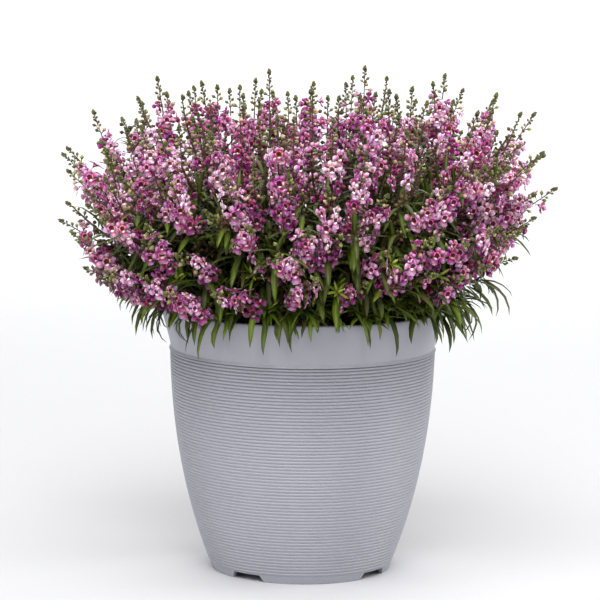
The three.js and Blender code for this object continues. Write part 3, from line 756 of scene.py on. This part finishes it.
# Petals: thin and soft, a dull satin, with a pale rim round the dark throat and pale margins
def angeloniaPetal():
    material, tree, surface, place, tone, age = plantMaterial(
        "angeloniaPetal", Roughness=0.55, IOR=1.38, Sheen_Weight=0.08)
    # painted shade: florets deep inside the dome are darker and more saturated, over their random tone
    toneLessShade = addNode(tree, "ShaderNodeMath", {0: age, 1: -0.42, 2: tone}, operation="MULTIPLY_ADD")
    light, depth = (
        addNode(tree, "ShaderNodeMapRange", {
            "Value": toneLessShade, "From Min": -0.42, "To Min": low, "To Max": high})
        for low, high in ((0.22, 1.56), (1.9, 0.54)))
    veins = mottle(tree, 2.5, 2.0, 0.84, 1.12)
    value = addNode(tree, "ShaderNodeMath", {0: light, 1: veins}, operation="MULTIPLY")
    paint(tree, surface, place, [
        (0.06, "#fff4ee"), (0.19, "#4a0e20"), (0.31, "#681830"), (0.37, "#b2587a"), (0.43, "#f4ccda"),
        (0.52, "#ae4e80"), (0.66, "#cc7cae"), (0.85, "#f6d4e6"), (0.97, "#5e4038")
    ], {"Hue": mottle(tree, 9, 0.0, 0.46, 0.54), "Saturation": depth, "Value": value})
    return material


# Leaves: waxy satin with a faint midrib, lime green when young, dark when grown, tan when dry; the dark
# green and brown stops also paint shade on leaves deep in the dome
def angeloniaLeaf():
    material, tree, surface, place, tone, age = plantMaterial("angeloniaLeaf", Roughness=0.5, IOR=1.4)
    rib = addNode(tree, "ShaderNodeMapRange", {
        "Value": place, "From Min": 0.0, "From Max": 0.16, "To Min": 1.35, "To Max": 1.0})
    light = addNode(tree, "ShaderNodeMapRange", {"Value": tone, "To Min": 0.68, "To Max": 1.4})
    dim = addNode(tree, "ShaderNodeMath", {0: rib, 1: light}, operation="MULTIPLY")
    spots = mottle(tree, 6, 3.0, 0.85, 1.15)
    value = addNode(tree, "ShaderNodeMath", {0: dim, 1: spots}, operation="MULTIPLY")
    paint(tree, surface, age, [
        (0.0, "#b2b84e"), (0.3, "#748a22"), (0.5, "#5e721c"), (0.75, "#465416"), (0.92, "#4a3822"),
        (1.0, "#b08a5a")], {"Value": value})
    return material


# Buds: dry and brown below zero, olive green at zero, then cream and pink as they ripen
def angeloniaBud():
    material, tree, surface, place, tone, ripe = plantMaterial("angeloniaBud", Roughness=0.5, IOR=1.4)
    reach = addNode(tree, "ShaderNodeMath", {0: place, 1: ripe, 2: 1.0}, operation="MULTIPLY_ADD")
    half = addNode(tree, "ShaderNodeMath", {0: reach, 1: 0.5}, operation="MULTIPLY")
    light = addNode(tree, "ShaderNodeMapRange", {"Value": tone, "To Min": 0.6, "To Max": 1.55})
    paint(tree, surface, half, [
        (0.1, "#5e342c"), (0.4, "#50422a"), (0.5, "#55582a"), (0.62, "#80864a"), (0.8, "#d2a48c"),
        (0.95, "#cf86a8")], {"Value": light})
    return material


# Stems: woody brown at the soil, olive green further up, flushed maroon among the florets
def angeloniaStem():
    material, tree, surface = newMaterial("angeloniaStem", Roughness=0.55, IOR=1.42)
    place = addNode(tree, "ShaderNodeAttribute", attribute_name="place").outputs["Fac"]
    paint(tree, surface, place, [(0.0, "#43352a"), (0.35, "#4a4930"), (0.8, "#4c4430"), (1.0, "#573b30")])
    return material


# Growing the plants

growth = {
    "seed": 3, "floretPitch": 3.7, "floretSize": (0.72, 0.98), "gaps": 0.34, "sway": 5, "stem": 1.35,
    "budPitch": 1.3, "capsules": (46, 4.2), "bractShare": 0.45, "leafPitch": 14, "leafLength": (0.6, 1.05),
    # the heights over which leaves shrink and take painted shade, and their least size
    "leafShrinkAndShade": (330, 430, 0.52), "leafyPitch": 8, "tuftShare": 0.3, "tuftHeight": 345,
    # tries, height gained by each, and steps of a stem's curve; leaves of a tuft and of a shoot,
    # the shoot's pitch, and the small buds that end a spike
    "stemTries": 24, "stemRise": 4, "stemSteps": 14, "tuftLeaves": 9, "shootLeaves": 8,
    "shootPitch": 2.6, "tipBuds": 7,
    # millimetres to keep from the rim, and from the box for leaves, florets and tips
    "rimRoom": 3, "leafRoom": 4, "floretRoom": 2, "tipRoom": 5,
    "shoots": {
        # tier: (count, first turn, span of turns, circle, height, share and count of hanging leaves)
        "rim": (50, 0, 6.283, (124, 150), (268, 280), (0.8, 3)),
        "skirt": (16, 0, 6.283, (130, 170), (280, 306), (0, 0)),
        "fan": (3, -0.7, 0.85, (156, 180), (278, 292), (0.9, 4)),
    },
}


def facing(forward, upper):
    z = forward.normalized()
    x = upper.cross(z)
    if x.length < 1e-4:
        x = Vector((1, 0, 0)).cross(z)
    x.normalize()
    return Matrix((x, z.cross(x), z)).transposed().to_quaternion()


# Spikes bow a little to one side, most at the tip
def swayed(spike, point):
    share = (point - spike["foot"]).length / (spike["tip"] - spike["foot"]).length
    return point + spike["sway"] * share ** 2


def spinAround(axis, turn):
    level = up.cross(axis) if abs(axis.z) < 0.999 else Vector((1, 0, 0))
    level.normalize()
    return level * math.cos(turn) + axis.cross(level) * math.sin(turn)


# Above the soil inside the pot, and clear of its rim outside
def missesPot(point, margin):
    x, y, z = point.x / mm, point.y / mm, point.z / mm
    r = math.hypot(x, y)
    if z > potSizes["height"] + margin:
        return True
    if r < potSizes["rimRadius"]:
        return r < innerRadius(max(z, 0)) - margin and z > soilHeight(x, y) + 1
    return r > potSizes["rimRadius"] + margin


def curvePoint(p, t):
    s = 1 - t
    return p[0] * s ** 3 + p[1] * 3 * s * s * t + p[2] * 3 * s * t * t + p[3] * t ** 3


# From a crown in the soil up to a foot above it, arched until it misses the pot
def stemLine(plant, foot, axis, draw):
    crown = crownPlace(plant)
    reach = (foot - crown).to_2d().to_3d().normalized()
    start = crown + reach * draw.uniform(1, 6) * mm
    gap = (foot - start).length
    steps = growth["stemSteps"]
    for n in range(growth["stemTries"]):
        raised = up * growth["stemRise"] * n * mm
        curve = [start, start + up * gap * 0.42, foot - axis * gap * 0.34 + raised, foot]
        line = [curvePoint(curve, i / steps) for i in range(steps + 1)]
        if all(missesPot(p, growth["rimRoom"]) for p in line[2:]):
            break
    return line


# Within the box of the frame
def insideBox(point, margin):
    low, high = cadBox
    return all(low[i] + margin * mm < point[i] < high[i] - margin * mm for i in range(3))


# Leaves that miss the pot, and stay in the box, at four points along them
def leafFits(at, out, upper, length, bend):
    for share in (0.35, 0.6, 0.85, 1.0):
        drop = bend * share / 2.2
        point = at + (out * math.cos(drop) - upper * math.sin(drop)) * length * share
        if not (missesPot(point, growth["rimRoom"]) and insideBox(point, growth["leafRoom"])):
            return False
    return True


class Planting:
    # What grows on one plant: points for its florets, leaves and buds, and lines for its stems
    def __init__(self):
        self.florets, self.leaves, self.buds, self.lines = [], [], [], []

    # Age: 0 young, 0.4 to 0.9 grown, 1 dry; leaves deep in the dome take 0.72 to 0.9 as painted shade
    def addLeaf(self, at, out, upper, scale, width, kind, age):
        length = leafSizes["length"] * scale * mm
        if leafFits(at, out, upper, length, leafSizes["bends"][kind]):
            self.leaves.append((at, facing(out, upper), (width, scale, scale), kind, age))

    def addBud(self, at, out, upper, wide, high, kind, ripe):
        self.buds.append((at, facing(out, upper), (wide, wide, high), kind, ripe))

    # Opposite leaves along a stem, each pair a quarter turn from the last
    def addStemLeaves(self, line, draw, firstShare, pitch):
        total = sum((b - a).length for a, b in zip(line, line[1:]))
        walked, due, pair = 0.0, total * firstShare, draw.randrange(2)
        low, high, least = growth["leafShrinkAndShade"]
        for a, b in zip(line, line[1:]):
            step = (b - a).length
            while due < walked + step:
                at = a.lerp(b, (due - walked) / step)
                along = (b - a).normalized()
                # smaller the higher they grow; there and deep inside the dome painted shade makes them
                # darker and browner
                height = min(1, max(0, (at.z / mm - low) / (high - low)))
                inner = min(1, (0.86 - domeDepth(at)) / 0.3) if at.z > 300 * mm else 0
                shade = max(height, inner)
                grown = 1 - (1 - least) * height
                for half in (0, math.pi) if draw.random() > 0.5 * height else ():
                    side = spinAround(along, pair * math.pi / 2 + half + draw.uniform(-0.35, 0.35))
                    outward = at.to_2d().to_3d().normalized()
                    out = (side + along * draw.uniform(0.3, 0.8) + outward * 0.35).normalized()
                    self.addLeaf(at, out, up, grown * draw.uniform(*growth["leafLength"]),
                                 grown * draw.uniform(0.8, 1.1), draw.choice((3, 3, 3, 4, 4)),
                                 draw.uniform(0.45, 0.8) * (1 - shade) + draw.uniform(0.72, 0.9) * shade)
                pair += 1
                due += pitch * mm * draw.uniform(0.8, 1.25)
            walked += step

    # A star of young leaves that ends a leafy shoot
    def addTuft(self, at, axis, draw):
        count = growth["tuftLeaves"]
        for k in range(count):
            out = axis * (0.3 + 0.12 * k) + spinAround(axis, k * goldenTurn)
            long = draw.uniform(0.3, 0.5) - 0.02 * k
            self.addLeaf(at - axis * (count - 1 - k) * mm, out.normalized(), axis, long, 0.42,
                         draw.choice((3, 4)), 0.42 - 0.03 * k)

    def addFlorets(self, spike, draw, turn):
        foot, head, axis = spike["foot"], spike["head"], spike["axis"]
        outward = axis.to_2d().to_3d()
        count = int((head - foot).length / (growth["floretPitch"] * mm))
        for k in range(count):
            share = k / max(1, count - 1)
            side = spinAround(axis, turn + k * goldenTurn + draw.uniform(-0.3, 0.3))
            out = side + outward * 0.3 + up * draw.uniform(-0.3, 0.1)
            out.z = max(out.z, -0.3)
            at = swayed(spike, foot.lerp(head, (k + 0.7) / (count + 0.5)))
            at += side * draw.uniform(-1.5, 2.0) * mm
            upper = (axis * 0.45 + up * 0.55 + outward * draw.uniform(-0.1, 0.1)).normalized()
            if draw.random() < growth["gaps"]:
                # a withered flower has left its brown calyx, or a late bud stands here
                ripe = draw.choice((-1.0, -0.6, 0.0, 0.5, 0.9))
                size = draw.uniform(0.9, 1.35)
                self.addBud(at, out, upper, size, size * 1.4, 0, ripe)
                continue
            size = draw.uniform(*growth["floretSize"]) * (1 - 0.14 * share)
            if not insideBox(at + out.normalized() * 15 * size * mm, growth["floretRoom"]):
                continue
            kind = 1 if k >= count - 2 else draw.choice((0, 0, 2))
            # deep inside the dome they get painted shade: darker and more saturated
            age = min(1, max(0, (0.97 - domeDepth(at)) / 0.3))
            self.florets.append((at, facing(out, upper), (size, size, size), kind, age))

    # Buds up to the tip, smaller, greener and closer all the way, with a bract below most
    def addBuds(self, spike, draw, turn):
        head, tip, axis = spike["head"], spike["tip"], spike["axis"]
        buds = max(6, int((tip - head).length / (growth["budPitch"] * draw.uniform(0.9, 1.5) * mm)))
        top = tip - axis * 2.2 * mm
        for k in range(buds):
            share = 1 - (1 - k / buds) ** 1.4
            side = spinAround(axis, turn + k * goldenTurn)
            out = side + axis * (0.5 + 1.1 * share)
            size = (1.15 - 0.5 * share) * draw.uniform(0.85, 1.15)
            at = swayed(spike, head.lerp(top, share))
            ripe = max(0.0, 1 - 2.2 * share) * draw.uniform(0.2, 1.0) if spike["kind"] == "bloom" else 0.25
            slim = size * (1 - 0.3 * share)
            self.addBud(at, out, axis, slim, size * (1.3 - 0.8 * share), 0, ripe)
            if draw.random() < growth["bractShare"]:
                size = 1.2 - 0.8 * share
                self.addBud(at - axis * 0.5 * mm, out, axis, size, size, 2, 0.4)
        for k in range(growth["tipBuds"]):
            out = axis + spinAround(axis, k * goldenTurn) * (0.25 + 0.15 * k)
            at = swayed(spike, tip) - axis * (4.8 + 0.4 * k) * mm
            self.addBud(at, out, up, 0.78, 0.78, 1, 0)

    # Below its florets a spike keeps the seed capsules of the earlier ones
    def addCapsules(self, line, draw):
        reach, pitch = growth["capsules"]
        left, k = reach * draw.uniform(0.6, 1.2) * mm, draw.randrange(9)
        for a, b in zip(line[::-1], line[-2::-1]):
            axis, step, walked = (a - b).normalized(), (a - b).length, 0.0
            while walked < min(step, left):
                out = spinAround(axis, k * goldenTurn) + axis * draw.uniform(0.2, 0.7)
                size = draw.uniform(0.9, 1.4)
                ripe = draw.choice((-1.0, -1.0, -0.7, -0.4, 0.2))
                self.addBud(a - axis * walked, out, axis, size, size, 0, ripe)
                walked += pitch * mm * draw.uniform(0.7, 1.3)
                k += 1
            left -= step
            if left <= 0:
                break

    def addSpike(self, spike, draw):
        foot, tip = spike["foot"], spike["tip"]
        turn = draw.uniform(0, 2 * math.pi)
        spike["sway"] = spinAround(spike["axis"], turn) * draw.uniform(0, growth["sway"]) * mm
        if not insideBox(tip + spike["sway"], growth["tipRoom"]):
            spike["sway"] = Vector()
        if spike["kind"] == "leafy" and tip.z < growth["tuftHeight"] * mm:
            self.addTuft(tip, spike["axis"], draw)
        elif spike["kind"] in ("leafy", "spent"):
            self.addCapsules([foot, tip], draw)
        else:
            self.addFlorets(spike, draw, turn)
            self.addBuds(spike, draw, turn)
        points = [swayed(spike, foot.lerp(tip - spike["axis"] * 1.5 * mm, i / 6)) for i in range(7)]
        self.lines.append([(p, growth["stem"] * 0.8 * (1 - i / 9), 1) for i, p in enumerate(points)])

    def addStem(self, line, draw, firstShare, pitch):
        last = len(line) - 1
        thick = growth["stem"]
        self.lines.append([
            (p, thick * (1.25 - 0.4 * i / last), 0.8 * i / last) for i, p in enumerate(line)])
        self.addStemLeaves(line, draw, firstShare, pitch)


# Leafy shoots without flowers: low ones all round, which hang their leaves over the rim, higher
# ones that fill the space below the spikes, and a few that lean far out on the right
def addShoots(plantings, draw):
    for tier, (count, first, span, circle, height, hanging) in growth["shoots"].items():
        for i in range(count):
            turn = first + (i + draw.uniform(0.2, 0.8)) * span / count
            out = Vector((math.cos(turn), math.sin(turn), 0))
            side = Vector((-math.sin(turn), math.cos(turn), 0))
            rise = draw.uniform(*height) + (edgeLift(turn) * 0.5 if tier == "skirt" else 0)
            foot = out * draw.uniform(*circle) * mm + up * rise * mm
            axis = (out * 0.8 + up * draw.uniform(0.2, 0.7)).normalized()
            plant = plantToward(foot.x, foot.y)
            planting = plantings[plant]
            planting.addStem(stemLine(plant, foot, axis, draw), draw, 0.35, growth["leafPitch"])
            for k in range(growth["shootLeaves"]):
                hangs = k < hanging[1] and draw.random() < hanging[0]
                swing = draw.uniform(-1.0, 1.0) if hangs else draw.uniform(-1.6, 1.6)
                lift = draw.uniform(-0.9, 0.3) if hangs else draw.uniform(-0.3, 1.0)
                direction = (out * math.cos(swing) + side * math.sin(swing) + up * lift).normalized()
                kind = draw.choice((0, 0, 1)) if tier == "skirt" else draw.choice((1, 1, 2))
                long = draw.uniform(0.85, 1.2) if hangs else draw.uniform(0.5, 1.0)
                wide = draw.uniform(0.7, 0.9) * (0.5 + 0.5 * long) + 0.1
                age = draw.uniform(0.45, 0.84)
                at = foot - axis * k * growth["shootPitch"] * mm
                planting.addLeaf(at, direction, up, long, wide, kind, age)
            if draw.random() < growth["tuftShare"]:
                planting.addTuft(foot + axis * 6 * mm, axis, draw)


# Where shapes go: a place, a turn, a size, a kind, and an age that also holds painted shade, each
def pointMesh(name, items):
    mesh = bpy.data.meshes.new(name)
    mesh.from_pydata([item[0] for item in items], [], [])
    flat = lambda index: [x for item in items for x in item[index]]
    store(mesh, "turn", "QUATERNION", flat(1))
    store(mesh, "size", "FLOAT_VECTOR", flat(2))
    store(mesh, "kind", "INT", [item[3] for item in items])
    store(mesh, "age", "FLOAT", [item[4] for item in items])
    return mesh


# Where stems go: lines of points, each with a radius and its place from root to tip
def lineMesh(name, lines):
    points, edges, thick, place = [], [], [], []
    for line in lines:
        start = len(points)
        for point, radius, share in line:
            points.append(point)
            thick.append(radius * mm)
            place.append(share)
        edges += [(start + i, start + i + 1) for i in range(len(line) - 1)]
    mesh = bpy.data.meshes.new(name)
    mesh.from_pydata(points, edges, [])
    store(mesh, "thick", "FLOAT", thick)
    store(mesh, "place", "FLOAT", place)
    return mesh


def makePlants():
    draw, later = random.Random(growth["seed"]), random.Random(growth["seed"] + 1)
    spikes = [frameSpike(node) for node in spikeNodes]
    allSpikes = spikes + fillingSpikes(spikes)
    plantings = [Planting() for _ in plantNodes]
    for spike in allSpikes:
        planting = plantings[spike["plant"]]
        planting.addSpike(spike, draw)
        pitch = growth["leafyPitch" if spike["kind"] in ("spent", "leafy") else "leafPitch"]
        line = stemLine(spike["plant"], spike["foot"], spike["axis"], draw)
        planting.addStem(line, draw, 0.3, pitch)
        if spike["foot"].z > growth["tuftHeight"] * mm:
            planting.addCapsules(line, later if spike["kind"] == "green" else draw)
    addShoots(plantings, draw)

    florets = shapeSet("floretShapes", [
        floretMesh(f"floret_{i}", lobes) for i, lobes in enumerate(lobeSets.values())])
    leaves = shapeSet("leafShapes", [
        leafMesh(f"leaf_{kind}", kind) for kind in range(len(leafSizes["bends"]))])
    buds = shapeSet("budShapes", [
        budMesh("bud_0", *budSizes["side"]), budMesh("bud_1", *budSizes["tip"]),
        bractMesh("bud_2", *budSizes["bract"])])
    shapes, stems = shapeTree(), stemTree()
    petal, leaf, bud, stem = angeloniaPetal(), angeloniaLeaf(), angeloniaBud(), angeloniaStem()
    for p, planting in enumerate(plantings):
        own, green = [spike["node"] for spike in spikes if spike["plant"] == p], [plantNodes[p]]
        # name, points, shapes, seed, height and width of the ruffle, finish, slot, nodes replaced
        for name, items, chosen, seed, ruffle, finish, slotName, nodes in (
                ("florets", planting.florets, florets, 0, (1.5, 7), petal, "blossom", own),
                ("leaves", planting.leaves, leaves, 10, (4, 26), leaf, "foliage", green),
                ("buds", planting.buds, buds, 20, (0, 9), bud, "foliage", green)):
            piece = grow(f"{name}_{p + 1}", pointMesh(name + "Spots", items), shapes, {
                "Shapes": chosen, "Seed": p + seed, "Ruffle": ruffle[0] * mm,
                "Ruffle Width": ruffle[1] * mm, "Finish": finish})
            settle(piece, slotName, *nodes)
        piece = grow(f"stems_{p + 1}", lineMesh("stemLines", planting.lines), stems, {
            "Sides": 6, "Finish": stem})
        settle(piece, "foliage", plantNodes[p])


# Studio

studioSizes = {"floor": 8.0, "wall": 5.0, "bend": 2.4, "height": 4.5, "steps": 12}


# Pale painted floor that curves up into a wall far behind
def makeFloor():
    s = studioSizes
    line = [(-s["floor"], 0)]
    for i in range(s["steps"] + 1):
        a = math.pi / 2 * i / s["steps"]
        line.append((s["wall"] - s["bend"] + s["bend"] * math.sin(a), s["bend"] * (1 - math.cos(a))))
    line.append((s["wall"], s["height"]))
    points = [(x, y, z) for y, z in line for x in (-s["floor"], s["floor"])]
    faces = [(2 * i, 2 * i + 1, 2 * i + 3, 2 * i + 2) for i in range(len(line) - 1)]
    sweep = addObject("studioSweep", smoothMesh("studioSweep", points, faces))
    material, _, _ = newMaterial("matPaint", Roughness=0.9, Base_Color=linear("#cbcbcd"))
    sweep.data.materials.append(material)


lamps = {
    # name: (place, aim, width, height, watts)
    "leftBox": ((-2.1, -0.6, 1.0), (0, 0, 0.3), 1.2, 1.8, 15),
    "rightBox": ((2.1, 0.3, 1.0), (0, 0, 0.3), 1.2, 1.8, 24),
    "topBox": ((0, -1.3, 2.4), (0, 0, 0.3), 2.0, 1.6, 62),
    "frontBox": ((0, -2.9, 2.1), (0, 0, 0.3), 1.8, 1.0, 46),
    "wallWash": ((0, 3.4, 2.8), (0, 2.9, 0), 6.0, 1.6, 185),
}


def makeLamps():
    for name, (place, aim, width, height, watts) in lamps.items():
        data = bpy.data.lights.new(name, "AREA")
        data.shape = "RECTANGLE"
        data.size, data.size_y, data.energy = width, height, watts
        lamp = addObject(name, data)
        lamp.location = place
        lamp.rotation_euler = (Vector(aim) - Vector(place)).to_track_quat("-Z", "Y").to_euler()
    world = bpy.data.worlds.new("paleRoom")
    bpy.context.scene.world = world
    world.use_nodes = True
    plug(world.node_tree, world.node_tree.nodes["Background"], {
        "Color": linear("#fbfbff"), "Strength": 0.18})


view = {"place": (-0.003, -3.25, 0.7235), "aim": (-0.003, 0, 0.2675), "lens": 199, "roll": 0.6}


def makeCamera():
    data = bpy.data.cameras.new("view")
    data.lens, data.sensor_width = view["lens"], 36
    data.clip_end = 50
    camera = addObject("view", data)
    place, aim = Vector(view["place"]), Vector(view["aim"])
    camera.location = place
    look = (aim - place).to_track_quat("-Z", "Y").to_matrix().to_4x4()
    camera.rotation_euler = (look @ Matrix.Rotation(math.radians(view["roll"]), 4, "Z")).to_euler()
    bpy.context.scene.camera = camera
    bpy.context.scene.view_settings.view_transform = "Standard"


makeCamera()
makeLamps()
makeFloor()
print("studio ready")
makePot()
makeSoil()
makePlants()
